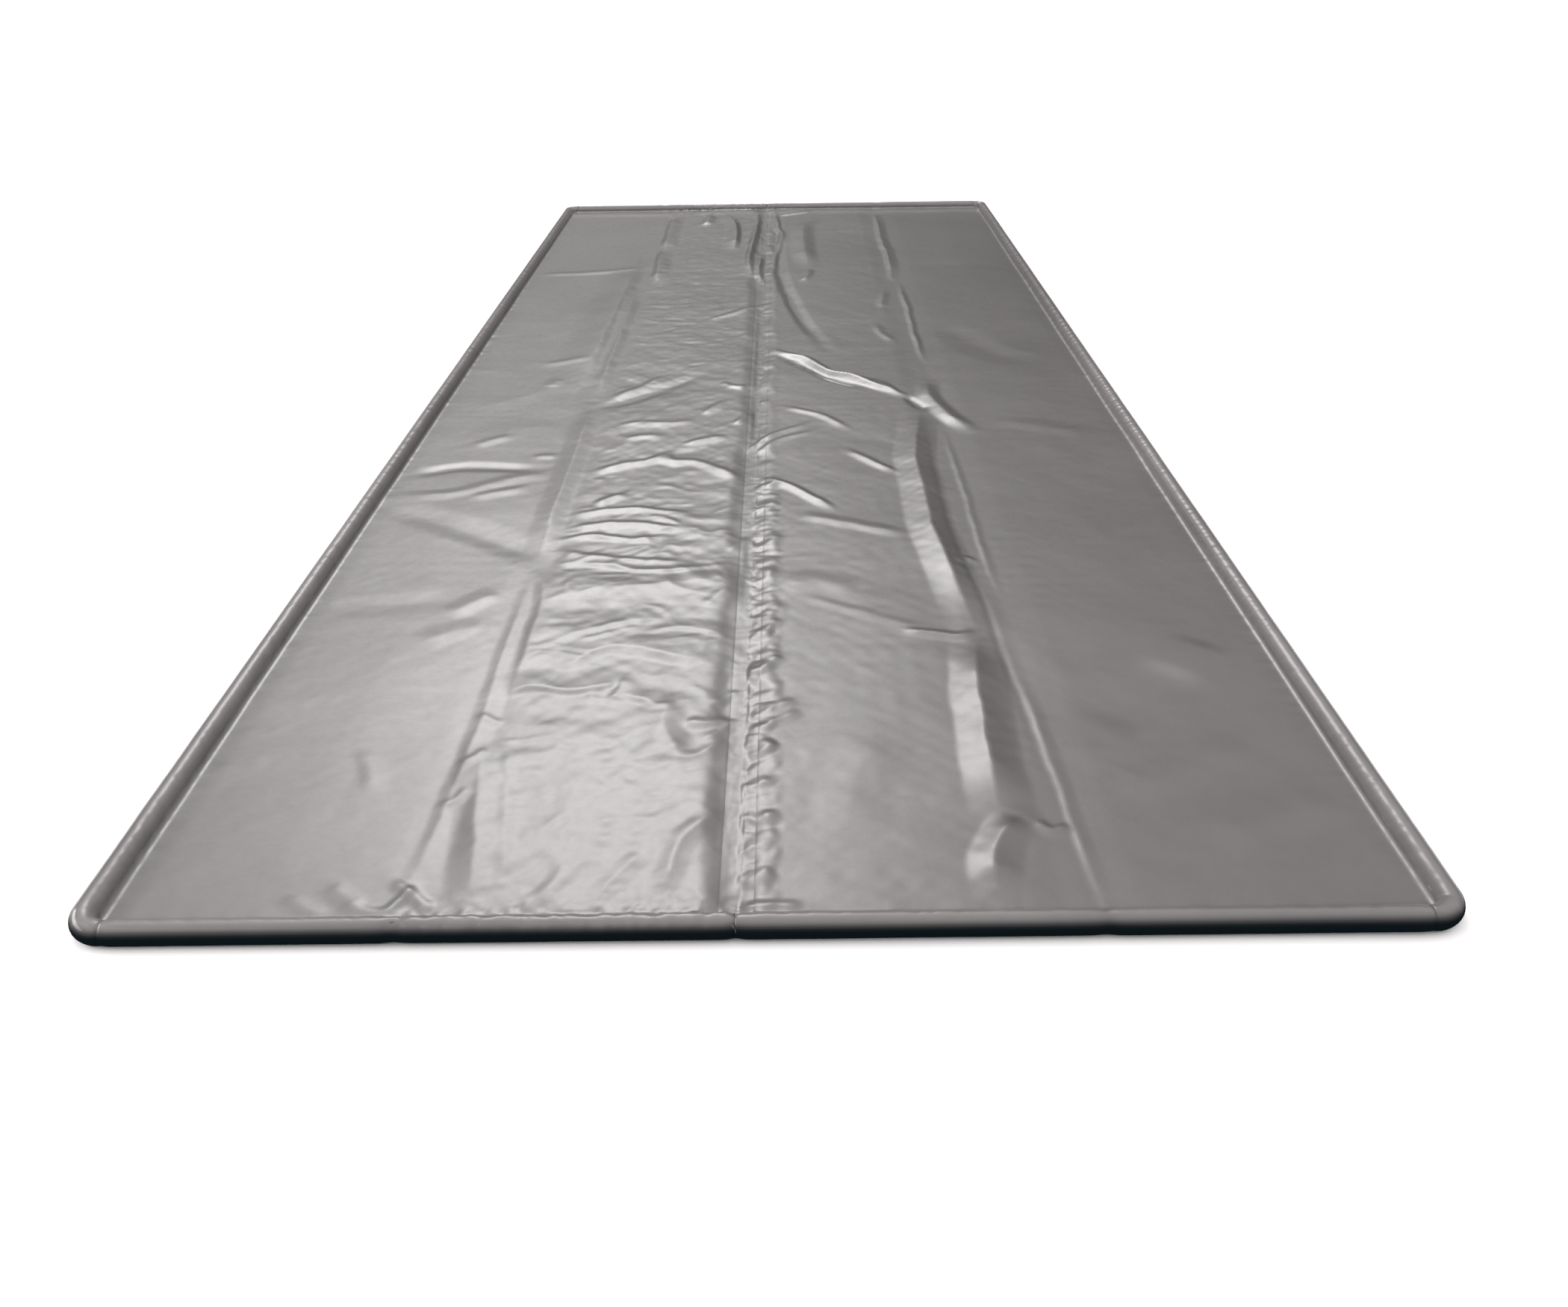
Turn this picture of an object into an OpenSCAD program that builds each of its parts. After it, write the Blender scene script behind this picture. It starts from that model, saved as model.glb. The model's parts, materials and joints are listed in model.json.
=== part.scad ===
// Bench-size seedling heat mat. Four padded heating panels share one vinyl cover, with a round foam
// bead along every edge, and fold like a fan on three lengthwise fold lines that carry no padding.
// Millimetres. +Z is up and the underside is at z = 0. +X is across the mat and +Y along it, towards
// the end that holds the power inlet. The origin is under the middle of the mat.

/* [Mat] */
// Overall width, across the outsides of the side beads
mat_w = 1220; // [1180:5:1260]
// Overall length, across the outsides of the end beads
mat_l = 3050; // [1500:50:3660]
// Height of the top cover's upper face
mat_t = 8; // [8:0.5:10]
// Thickness of the vinyl covers
cover_t = 0.8; // [0.5:0.1:1]
// Outside radius of the rounded corners
corner_r = 38; // [32:1:60]

/* [Fold lines] */
// Fold line between the two left panels
fold_left_x = -320; // [-326:1:-319]
// Fold line at the centre seam
fold_centre_x = -26; // [-28:1:-24]
// Fold line between the two right panels
fold_right_x = 293; // [292:1:300]
// Width of the strip without padding, centred on each fold line
fold_strip_w = 40; // [30:2:50]
// Free gap from a fold line to the layers on each side of it
fold_gap = 0.3; // [0.2:0.1:0.5]

/* [Edge bead] */
// Outside diameter of the bead's vinyl sleeve
bead_d = 24; // [22:1:28]
// Thickness of the sleeve
sleeve_t = 0.8; // [0.5:0.1:1]
// Width of the sleeve's flap, inwards from the bead, which is welded under the top cover
weld_w = 30; // [20:1:36]
// Clearance between the foam rod and its sleeve
rod_gap = 0.3; // [0.2:0.1:0.4]

/* [Heating layers] */
// Thickness of the foam insulation pad
pad_t = 4.8; // [4:0.1:4.8]
// Thickness of the laminated heating film
film_t = 0.4; // [0.3:0.05:0.4]
// Width of the copper bus bars along the film's two long edges
bus_w = 10; // [6:1:12]
// Thickness of the bus bars
bus_t = 0.2; // [0.1:0.05:0.2]
// Thickness of the aluminium heat spreader
spreader_t = 0.2; // [0.1:0.05:0.2]
// Width of the braids that join the panels' bus bars
braid_w = 8; // [6:1:10]
// Thickness of the braids
braid_t = 0.4; // [0.2:0.1:0.4]
// Distance between the live braid and the neutral braid
braid_pitch = 24; // [20:1:40]

/* [Centre seam] */
// Width of the tape that is welded inside the covers along the centre seam
seam_w = 38; // [24:1:38]
// Thickness of the seam tape
seam_t = 0.5; // [0.3:0.1:0.5]

/* [Power inlet] */
// Middle of the inlet, across the mat
inlet_x = -200; // [-240:5:-100]
// Length of the moulded body, which takes the place of the foam rod
inlet_l = 44; // [40:1:60]
// Outside radius of the bezel
bezel_r = 10.2; // [9.8:0.1:10.3]
// Depth of the bezel
bezel_l = 6; // [5:0.5:6]
// Radius of the socket's mouth, where the plug's nose seats
socket_r = 7.5; // [7:0.1:7.6]
// Radius of the inner recess around the pins
recess_r = 6; // [5:0.1:6.5]
// Radius of a contact pin
pin_r = 1; // [0.8:0.1:1.2]
// Radius of the circle that the pins stand on
pin_circle_r = 3.4; // [3:0.1:3.6]

/* [Hidden] */
$fn = 72;
bead_r = bead_d / 2;
rod_r = bead_r - sleeve_t - rod_gap;
corner_line_r = corner_r - bead_r;          // radius of the bead's centre line round a corner
side_x = mat_w / 2 - bead_r;                // centre lines of the side beads
end_y = mat_l / 2 - bead_r;                 // centre lines of the end beads
corner_x = mat_w / 2 - corner_r;            // centres of the corner arcs
corner_y = mat_l / 2 - corner_r;
butt_gap = 0.1;                             // between a corner piece and the straight rod beside it
cover_gap = 0.2;                            // between the covers and the bead
cover_x = side_x - bead_r - cover_gap;
cover_y = end_y - bead_r - cover_gap;
weld_end = bead_r + weld_w;                 // inner edge of the weld flap, from the bead's centre line
pad_y = end_y - weld_end;
flap_z = mat_t - cover_t - sleeve_t;        // underside of the flap
film_z = cover_t + pad_t;
bus_z = film_z + film_t;
braid_z = bus_z + bus_t;
braid_y = [pad_y - 20, pad_y - 20 - braid_pitch];
film_inset = fold_strip_w / 2 + 2;
bus_inset = film_inset + 2;
spreader_inset = bus_inset + bus_w + 4;

// Inlet, along +Y from the far bead's centre line to the bead's outside
bezel_y = mat_l / 2 - bezel_l;
seal_l = 2;
seal_y = bezel_y - seal_l;
barrel_r = 9.5;
recess_floor_y = end_y - 8;
pin_y = end_y - 10;
lead_r = 1.3;
lead_z = 4;
lead_pitch = 7;
lead_clearance = 0.2;
lead_tip_y = end_y - 3;
pocket_w = 34;
pocket_l = 30;
lead_end_y = pad_y - 12;
cutout_size = [20, 8, 4];                   // thermal cut-out's case

// Panels from left to right: name, left limit, right limit, and side (-1 and 1 are the outer panels)
PANELS = [
    ["left_outer", -mat_w / 2, fold_left_x, -1],
    ["left_inner", fold_left_x, fold_centre_x, 0],
    ["right_inner", fold_centre_x, fold_right_x, 0],
    ["right_outer", fold_right_x, mat_w / 2, 1]
];
ENDS = [["near", -1], ["far", 1]];
SIDES = [["left", -1], ["right", 1]];
LAYERS = ["bottom_cover", "insulation_pad", "heating_film", "heat_spreader", "top_cover", "jumper_braids"];
INLET = ["inlet_body", "inlet_seal", "inlet_bezel", "inlet_pins", "supply_leads", "thermal_cutout"];

// Limits of a panel's padding: inset from its fold lines, and clear of the weld flap on the bead side
function pad_lo(p, inset) = p[3] < 0 ? -side_x + weld_end + inset - fold_strip_w / 2 : p[1] + inset;
function pad_hi(p, inset) = p[3] > 0 ? side_x - weld_end - inset + fold_strip_w / 2 : p[2] - inset;

// A flat layer of one panel, from z upwards
module pad_layer(p, inset, end_inset, z, t) {
    lo = pad_lo(p, inset);
    translate([lo, end_inset - pad_y, z])
        cube([pad_hi(p, inset) - lo, 2 * (pad_y - end_inset), t]);
}

// Outline of the cover, with its corners cut back inside the bead's corner arcs
module cover_outline() {
    cut = (corner_line_r - bead_r - cover_gap) * tan(22.5);
    polygon([
        for (s = [[1, 1], [-1, 1], [-1, -1], [1, -1]])
            for (k = s[0] * s[1] > 0 ? [0, 1] : [1, 0])
                k == 0
                    ? [s[0] * cover_x, s[1] * (corner_y + cut)]
                    : [s[0] * (corner_x + cut), s[1] * cover_y]
    ]);
}

module cover_sheet(p, z) {
    translate([0, 0, z]) linear_extrude(cover_t) intersection() {
        cover_outline();
        translate([p[1] + fold_gap, -mat_l / 2])
            square([p[2] - p[1] - 2 * fold_gap, mat_l]);
    }
}

module bottom_cover(p) {
    color([0.42, 0.42, 0.43]) cover_sheet(p, 0);
}

module top_cover(p) {
    color([0.66, 0.64, 0.64]) cover_sheet(p, mat_t - cover_t);
}

// Foam pad. The panel with the inlet has a pocket in its far edge for the leads and the cut-out.
module insulation_pad(p) {
    color([0.86, 0.86, 0.82]) difference() {
        pad_layer(p, fold_strip_w / 2, 0, cover_t, pad_t);
        if (p[0] == "left_inner")
            translate([inlet_x - pocket_w / 2, pad_y - pocket_l, 0])
                cube([pocket_w, pocket_l + 1, mat_t]);
    }
}

// Heating film with a bus bar laminated along each long edge
module heating_film(p) {
    lo = pad_lo(p, bus_inset);
    hi = pad_hi(p, bus_inset);
    color([0.12, 0.12, 0.13]) pad_layer(p, film_inset, 4, film_z, film_t);
    color([0.72, 0.45, 0.25])
        for (x = [lo, hi - bus_w])
            translate([x, 8 - pad_y, bus_z]) cube([bus_w, 2 * pad_y - 16, bus_t]);
}

module heat_spreader(p) {
    color([0.8, 0.81, 0.82]) pad_layer(p, spreader_inset, 60, bus_z, spreader_t);
}

// Live and neutral braids, from a panel's bus bar to its fold line
module braid_pair(x, towards) {
    reach = bus_inset + bus_w;
    for (y = braid_y)
        translate([towards > 0 ? x - reach : x + fold_gap, y - braid_w / 2, braid_z])
            cube([reach - fold_gap, braid_w, braid_t]);
}

module jumper_braids(p) {
    color([0.75, 0.48, 0.28]) {
        if (p[3] < 1) braid_pair(p[2], 1);
        if (p[3] > -1) braid_pair(p[1], -1);
    }
}

// Round bar along X or Y between two places
module bar_x(x0, x1, r) {
    rotate([0, 90, 0]) translate([0, 0, x0]) cylinder(h = x1 - x0, r = r);
}
module bar_y(y0, y1, r) {
    rotate([-90, 0, 0]) translate([0, 0, y0]) cylinder(h = y1 - y0, r = r);
}

// Limits of a panel's straight end bead, clear of the fold lines and of the corner pieces
function end_lo(p) = p[3] < 0 ? -corner_x + butt_gap : p[1] + fold_gap;
function end_hi(p) = p[3] > 0 ? corner_x - butt_gap : p[2] - fold_gap;

// Where the weld flap leaves the sleeve, half way through its wall
flap_from = sqrt(pow(bead_r - sleeve_t / 2, 2) - pow(bead_r - flap_z - sleeve_t / 2, 2));

module bead_rod(p, e) {
    color([0.3, 0.32, 0.34]) difference() {
        translate([0, e * end_y, bead_r]) bar_x(end_lo(p), end_hi(p), rod_r);
        if (p[0] == "left_inner" && e > 0)
            translate([inlet_x - inlet_l / 2 - butt_gap, end_y - bead_d, 0])
                cube([inlet_l + 2 * butt_gap, 2 * bead_d, bead_d]);
    }
}

module bead_sleeve(p, e) {
    flap_lo = p[3] < 0 ? -side_x + weld_end + cover_gap : end_lo(p);
    flap_hi = p[3] > 0 ? side_x - weld_end - cover_gap : end_hi(p);
    color([0.6, 0.58, 0.58]) difference() {
        union() {
            translate([0, e * end_y, bead_r]) bar_x(end_lo(p), end_hi(p), bead_r);
            translate([flap_lo, e > 0 ? end_y - weld_end : flap_from - end_y, flap_z])
                cube([flap_hi - flap_lo, weld_end - flap_from, sleeve_t]);
        }
        translate([0, e * end_y, bead_r])
            bar_x(end_lo(p) - 1, end_hi(p) + 1, bead_r - sleeve_t);
        if (p[0] == "left_inner" && e > 0) {
            translate([inlet_x, 0, bead_r]) bar_y(end_y, mat_l / 2 + 1, bezel_r + lead_clearance);
            lead_bores(end_y - bead_d, end_y);
        }
    }
}

module side_rod(s) {
    color([0.3, 0.32, 0.34])
        translate([s * side_x, 0, bead_r]) bar_y(butt_gap - corner_y, corner_y - butt_gap, rod_r);
}

module side_sleeve(s) {
    y0 = butt_gap - corner_y;
    y1 = corner_y - butt_gap;
    color([0.6, 0.58, 0.58]) difference() {
        union() {
            translate([s * side_x, 0, bead_r]) bar_y(y0, y1, bead_r);
            translate([s > 0 ? side_x - weld_end : flap_from - side_x, y0, flap_z])
                cube([weld_end - flap_from, y1 - y0, sleeve_t]);
        }
        translate([s * side_x, 0, bead_r]) bar_y(y0 - 1, y1 + 1, bead_r - sleeve_t);
    }
}

// A quarter turn of the bead's section at the near and far corners of one side
module corner_pair(s) {
    for (e = [-1, 1])
        translate([s * corner_x, e * corner_y, bead_r])
            rotate(s > 0 ? (e > 0 ? 0 : -90) : (e > 0 ? 90 : 180))
                rotate_extrude(angle = 90) translate([corner_line_r, 0]) children();
}

module corner_rods(s) {
    color([0.3, 0.32, 0.34]) corner_pair(s) circle(rod_r);
}

module corner_wraps(s) {
    color([0.62, 0.6, 0.6]) corner_pair(s) difference() {
        circle(bead_r);
        circle(bead_r - sleeve_t);
    }
}

// One half of the tapes along the centre seam, inside the bottom cover and inside the top cover
module seam_tapes(s) {
    half = seam_w / 2 - fold_gap;
    for (z = [cover_t, mat_t - cover_t - seam_t])
        color([0.58, 0.56, 0.56])
            translate([fold_centre_x + (s > 0 ? fold_gap : -fold_gap - half), cover_gap - pad_y, z])
                cube([half, 2 * (pad_y - cover_gap), seam_t]);
}

module at_inlet() {
    translate([inlet_x, 0, bead_r]) children();
}

// Passages for the three supply leads
module lead_bores(y0, y1) {
    for (k = [-1, 0, 1])
        translate([inlet_x + k * lead_pitch, 0, lead_z]) bar_y(y0, y1, lead_r + lead_clearance);
}

module pin_places() {
    for (a = [90, 210, 330])
        translate([pin_circle_r * cos(a), 0, pin_circle_r * sin(a)]) children();
}

// Moulded body: a length of rod that carries the socket
module inlet_body() {
    color([0.1, 0.1, 0.11]) difference() {
        at_inlet() {
            translate([0, end_y, 0]) bar_x(-inlet_l / 2, inlet_l / 2, rod_r);
            bar_y(end_y, seal_y, barrel_r);
        }
        at_inlet() bar_y(recess_floor_y, mat_l, recess_r);
        at_inlet() bar_y(seal_y, mat_l, bezel_r + lead_clearance);
        at_inlet() pin_places() bar_y(end_y - bead_d, end_y, pin_r + 0.02);
        lead_bores(end_y - bead_d, lead_tip_y + 1);
    }
}

module inlet_seal() {
    color([0.2, 0.2, 0.2]) at_inlet() difference() {
        bar_y(seal_y, bezel_y, barrel_r);
        bar_y(seal_y - 1, bezel_y + 1, socket_r + 0.3);
    }
}

module inlet_bezel() {
    color([0.08, 0.08, 0.09]) at_inlet() difference() {
        bar_y(bezel_y, mat_l / 2, bezel_r);
        bar_y(bezel_y - 1, mat_l / 2 + 1, socket_r);
    }
}

module inlet_pins() {
    color([0.8, 0.66, 0.35]) at_inlet() pin_places() bar_y(pin_y, seal_y - 1, pin_r);
}

module supply_leads() {
    color([0.75, 0.75, 0.73])
        for (k = [-1, 0, 1])
            translate([inlet_x + k * lead_pitch, 0, lead_z]) bar_y(lead_end_y, lead_tip_y, lead_r);
}

// Thermal cut-out, in the pad's pocket at the end of the supply leads
module thermal_cutout() {
    color([0.9, 0.9, 0.88])
        translate([inlet_x - cutout_size[0] / 2, lead_end_y - cutout_size[1] - 0.5, cover_t + 0.6])
            cube(cutout_size);
}

for (p = PANELS) {
    bottom_cover(p);
    insulation_pad(p);
    heating_film(p);
    heat_spreader(p);
    top_cover(p);
    jumper_braids(p);
    for (e = ENDS) {
        bead_rod(p, e[1]);
        bead_sleeve(p, e[1]);
    }
}
for (s = SIDES) {
    side_rod(s[1]);
    side_sleeve(s[1]);
    corner_rods(s[1]);
    corner_wraps(s[1]);
    seam_tapes(s[1]);
}
inlet_body();
inlet_seal();
inlet_bezel();
inlet_pins();
supply_leads();
thermal_cutout();
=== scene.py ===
"""Looks of the folding heat mat: wrinkled vinyl sheets, the centre seam's strip, the round edge beads
and the layers inside. Metres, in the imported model's frame; +Y is the end that holds the inlet."""
import json
import math

import bmesh
import bpy
import numpy as np
from mathutils import Matrix, Vector


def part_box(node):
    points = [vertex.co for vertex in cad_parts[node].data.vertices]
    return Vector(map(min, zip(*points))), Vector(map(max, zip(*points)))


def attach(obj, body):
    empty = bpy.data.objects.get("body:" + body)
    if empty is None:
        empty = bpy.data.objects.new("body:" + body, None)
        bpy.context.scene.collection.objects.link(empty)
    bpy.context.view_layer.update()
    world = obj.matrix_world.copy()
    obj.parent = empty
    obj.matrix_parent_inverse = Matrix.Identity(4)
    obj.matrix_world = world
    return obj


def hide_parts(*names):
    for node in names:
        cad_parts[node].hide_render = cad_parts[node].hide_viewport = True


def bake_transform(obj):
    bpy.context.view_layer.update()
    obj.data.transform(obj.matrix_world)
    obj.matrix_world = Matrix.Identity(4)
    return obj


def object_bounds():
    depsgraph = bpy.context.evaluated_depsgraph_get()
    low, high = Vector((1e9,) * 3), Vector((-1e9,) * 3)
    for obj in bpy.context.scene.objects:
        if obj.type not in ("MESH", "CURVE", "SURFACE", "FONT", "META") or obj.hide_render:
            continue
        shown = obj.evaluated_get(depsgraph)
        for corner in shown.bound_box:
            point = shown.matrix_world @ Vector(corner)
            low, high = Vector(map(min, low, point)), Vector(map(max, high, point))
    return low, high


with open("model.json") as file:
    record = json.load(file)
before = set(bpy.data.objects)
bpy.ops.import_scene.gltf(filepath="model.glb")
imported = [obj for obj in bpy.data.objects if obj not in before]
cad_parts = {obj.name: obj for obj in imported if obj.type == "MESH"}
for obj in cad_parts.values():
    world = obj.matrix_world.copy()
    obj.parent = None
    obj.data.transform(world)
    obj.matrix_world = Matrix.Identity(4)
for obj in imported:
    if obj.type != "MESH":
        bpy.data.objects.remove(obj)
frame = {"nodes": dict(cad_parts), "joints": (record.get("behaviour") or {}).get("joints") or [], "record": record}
cad_bounds = [list(corner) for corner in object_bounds()]

MM = 0.001
HINGE = {joint["name"]: Vector(joint["pos_m"]) for joint in frame["joints"]}
LEFT_FOLD, CENTRE, RIGHT_FOLD = (HINGE[n].x for n in ("fold_left", "fold_centre", "fold_right"))
BEAD_R = (cad_bounds[1][2] - cad_bounds[0][2]) / 2
SIDE_X = cad_bounds[1][0] - BEAD_R              # centre lines of the side beads
END_Y = cad_bounds[1][1] - BEAD_R               # centre lines of the end beads
INLET_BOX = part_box("inlet_bezel")
INLET_X = (INLET_BOX[0].x + INLET_BOX[1].x) / 2
INLET_R = (INLET_BOX[1].x - INLET_BOX[0].x) / 2
CORNER_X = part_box("corner_rods_right")[0].x     # where the straight end bead meets the corner
CORNER_LINE_R = SIDE_X - CORNER_X               # radius of the bead's centre line round a corner
ROD_R = 0.0104                                  # the foam rods inside the beads
ROD_GAP = 0.0004                                # between a rod's end and what it meets
TUCK = 0.79 * BEAD_R                            # from a bead's centre line to the covers' edge in it

# In mm: the centre seam, and the covers' edges.
SEAM_X = CENTRE / MM
COVER_X = (SIDE_X - TUCK) / MM
COVER_Y = (END_Y - TUCK) / MM

# The two halves of the mat: the bodies from left to right, and the fold line between them.
HALVES = {
    "left": ("left_outer", "left_inner", LEFT_FOLD),
    "right": ("right_inner", "right_outer", RIGHT_FOLD),
}


# -------- stage

def make_camera():
    """The photograph's viewing angle: near the mat's near end, a little under 0.8 m up."""
    data = bpy.data.cameras.new("camera")
    data.sensor_width = 36
    data.lens = 29.28
    camera = bpy.data.objects.new("camera", data)
    bpy.context.scene.collection.objects.link(camera)
    camera.matrix_world = (
        Matrix.Translation((0.023, -2.342, 0.769))
        @ Matrix.Rotation(math.radians(0.25), 4, "Z")
        @ Matrix.Rotation(math.radians(90 - 30.38), 4, "X")
        @ Matrix.Rotation(math.radians(-0.82), 4, "Z")
    )
    bpy.context.scene.camera = camera


def make_area_light(name, place, target, size, power, colour):
    data = bpy.data.lights.new(name, "AREA")
    data.shape = "RECTANGLE"
    data.size, data.size_y = size
    data.energy = power
    data.color = colour
    light = bpy.data.objects.new(name, data)
    bpy.context.scene.collection.objects.link(light)
    light.location = place
    light.rotation_euler = (Vector(target) - Vector(place)).to_track_quat("-Z", "Y").to_euler()


def sky_direction(heading, height):
    """A direction from its heading, in degrees to the right of +Y, and its height over the horizon."""
    a, e = math.radians(heading), math.radians(height)
    return (math.sin(a) * math.cos(e), math.cos(a) * math.cos(e), math.sin(e))


# The bright parts of the sky: heading and height in degrees, how narrow, how strong.
SKY_GLOWS = [
    (-18, 48, 20, 1.6),
    (-10, 37, 60, 5.4),
    (-4, 13, 60, 0.15),
    (-26, 14, 100, 0.8),
    (180, 42, 6, 0.7),
    (90, 25, 6, 1.2),
]


def make_stage():
    """The pale floor, the studio sky with its glows, and two window-like lamps on the left."""
    scene = bpy.context.scene
    scene.view_settings.view_transform = "Standard"
    bpy.ops.mesh.primitive_plane_add(size=60)
    floor = bpy.context.object
    floor.name = "floor"
    material, shader = new_material("floor_paper")
    shader.inputs["Base Color"].default_value = (0.86, 0.86, 0.86, 1)
    shader.inputs["Roughness"].default_value = 0.9
    floor.data.materials.append(material)
    world = bpy.data.worlds.new("studio")
    world.use_nodes = True
    background = world.node_tree.nodes["Background"]
    background.inputs["Color"].default_value = (1.0, 0.98, 0.975, 1)
    n = Nodes(world)
    direction = n.add("ShaderNodeTexCoord").outputs["Generated"]
    upward = n.add("ShaderNodeSeparateXYZ", {"Vector": direction}).outputs["Z"]
    strength = n.ramp(upward, 0.22, 0.95, 0.03, 1.6)        # dark low down, bright overhead
    for heading, height, narrowness, power in SKY_GLOWS:
        glow = n.add("ShaderNodeVectorMath", {0: direction, 1: sky_direction(heading, height)},
                     operation="DOT_PRODUCT").outputs["Value"]
        glow = n.math("POWER", n.math("MAXIMUM", glow, 0.0), narrowness)
        strength = n.math("MULTIPLY_ADD", glow, power, strength)
    n.link(strength, background, "Strength")
    scene.world = world
    make_area_light("left_window", (-3.6, -2.2, 2.6), (0, -1.0, 0), (5.0, 3.5), 55, (1.0, 0.95, 0.95))
    make_area_light("low_window", (-3.6, -0.9, 1.05), (0.2, -0.7, 0), (3.4, 1.1), 80, (1.0, 0.96, 0.96))


# -------- materials

def new_material(name):
    material = bpy.data.materials.new(name)
    material.use_nodes = True
    return material, material.node_tree.nodes["Principled BSDF"]


class Nodes:
    """Short names for the nodes of one material or world."""

    def __init__(self, owner):
        self.tree = owner.node_tree

    def add(self, kind, inputs=(), **settings):
        node = self.tree.nodes.new(kind)
        for key, value in settings.items():
            setattr(node, key, value)
        for key, value in dict(inputs).items():
            if isinstance(value, bpy.types.NodeSocket):
                self.tree.links.new(value, node.inputs[key])
            else:
                node.inputs[key].default_value = value
        return node

    def rest_place(self):
        """Each point's place at rest, stored on the mesh, so that a pattern stays put when a panel folds."""
        return self.add("ShaderNodeAttribute", attribute_name="rest").outputs["Vector"]

    def object_place(self):
        return self.add("ShaderNodeTexCoord").outputs["Object"]

    def noise(self, place, scale, detail, rough):
        return self.add("ShaderNodeTexNoise", {"Vector": place, "Scale": scale, "Detail": detail,
                                               "Roughness": rough}).outputs["Fac"]

    def ramp(self, value, low, high, to_low=0.0, to_high=1.0):
        return self.add("ShaderNodeMapRange", {"Value": value, "From Min": low, "From Max": high,
                                               "To Min": to_low, "To Max": to_high},
                        interpolation_type="SMOOTHSTEP").outputs["Result"]

    def math(self, operation, *values):
        return self.add("ShaderNodeMath", dict(enumerate(values)), operation=operation).outputs["Value"]

    def mix(self, share, a, b):
        node = self.add("ShaderNodeMix", data_type="RGBA")
        for key, value in ((0, share), (6, a), (7, b)):     # factor, and the two colour sockets
            socket = node.inputs[key]
            if isinstance(value, bpy.types.NodeSocket):
                self.tree.links.new(value, socket)
            else:
                socket.default_value = value
        return node.outputs[2]

    def bump(self, heights, shader):
        """Chains (height, strength, distance in metres) into one normal."""
        below = {}
        for height, strength, distance in heights:
            inputs = {"Height": height, "Strength": strength, "Distance": distance, **below}
            below = {"Normal": self.add("ShaderNodeBump", inputs).outputs["Normal"]}
        self.link(below["Normal"], shader, "Normal")

    def cells(self, place, scale):
        """Distance from the middle of the nearest cell."""
        return self.add("ShaderNodeTexVoronoi", {"Vector": place, "Scale": scale},
                        feature="F1").outputs["Distance"]

    def link(self, value, shader, key):
        self.tree.links.new(value, shader.inputs[key])


def vinyl(name, colour, pale, underside_and_shade_colour=None, rough=(0.44, 0.54), coat=0.9, specular=0.5):
    """Glossy coated vinyl: cloudy colour, fine leather-like grain, and a scuffed, uneven gloss.
    Where a piece carries a per-point share for it, the colour is mixed towards a near-black one and the gloss coat
    fades out: partly the dark underside vinyl wrapped up a bead, mostly painted shade on the bead's lower, outer
    side."""
    material, shader = new_material(name)
    n = Nodes(material)
    place = n.rest_place()
    clouds = n.noise(place, 2.3, 3.0, 0.6)
    mottle = n.noise(place, 38.0, 4.0, 0.65)
    tone = n.mix(n.ramp(clouds, 0.3, 0.7), colour, pale)
    tone = n.mix(n.ramp(mottle, 0.35, 0.75, 0.0, 0.16), tone, tuple(c * 0.72 for c in colour[:3]) + (1,))
    if underside_and_shade_colour is not None:
        # Painted shade, partly the underside vinyl's colour: the share darkens a bead's lower, outer side to near
        # black and fades its coat.
        underside_and_shade = n.add("ShaderNodeAttribute", attribute_name="underside_and_shade").outputs["Fac"]
        tone = n.mix(underside_and_shade, tone, underside_and_shade_colour)
        n.link(n.ramp(underside_and_shade, 0.0, 0.8, coat, 0.0), shader, "Coat Weight")
    else:
        shader.inputs["Coat Weight"].default_value = coat
    n.link(tone, shader, "Base Color")
    scuffs = n.noise(place, 90.0, 3.0, 0.7)
    n.link(n.ramp(scuffs, 0.3, 0.75, *rough), shader, "Roughness")
    shader.inputs["IOR"].default_value = 1.52
    shader.inputs["Specular IOR Level"].default_value = specular
    shader.inputs["Coat Roughness"].default_value = 0.13
    grain = n.cells(place, 900.0)
    dimples = n.noise(place, 140.0, 3.0, 0.55)
    n.bump([(dimples, 0.35, 0.0006), (grain, 0.22, 0.00025)], shader)
    return material


def foam(name, colour, dark):
    """Open-celled foam with darker cells and blotches."""
    material, shader = new_material(name)
    n = Nodes(material)
    place = n.object_place()
    cells = n.cells(place, 700.0)
    blotches = n.noise(place, 25.0, 4.0, 0.6)
    tone = n.mix(n.ramp(blotches, 0.3, 0.7), colour, dark)
    n.link(n.mix(n.ramp(cells, 0.1, 0.6), dark, tone), shader, "Base Color")
    shader.inputs["Roughness"].default_value = 0.92
    n.bump([(cells, 0.6, 0.0008)], shader)
    return material


def metal(name, colour, dark, rough, streak_scale):
    """Brushed metal, its streaks drawn out along the axis where streak_scale is small."""
    material, shader = new_material(name)
    n = Nodes(material)
    place = n.object_place()
    stretched = n.add("ShaderNodeMapping", {"Vector": place, "Scale": streak_scale}).outputs["Vector"]
    streaks = n.noise(stretched, 60.0, 5.0, 0.6)
    n.link(n.mix(n.ramp(streaks, 0.3, 0.75), colour, dark), shader, "Base Color")
    n.link(n.ramp(streaks, 0.25, 0.8, *rough), shader, "Roughness")
    shader.inputs["Metallic"].default_value = 1.0
    n.bump([(streaks, 0.25, 0.0003)], shader)
    return material


def moulded(name, colour, pale, rough):
    """Moulded plastic or rubber with a fine speckle."""
    material, shader = new_material(name)
    n = Nodes(material)
    place = n.object_place()
    speckle = n.noise(place, 260.0, 4.0, 0.6)
    n.link(n.mix(n.ramp(speckle, 0.35, 0.75, 0, 0.5), colour, pale), shader, "Base Color")
    n.link(n.ramp(speckle, 0.25, 0.8, *rough), shader, "Roughness")
    n.bump([(speckle, 0.3, 0.0002)], shader)
    return material


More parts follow.
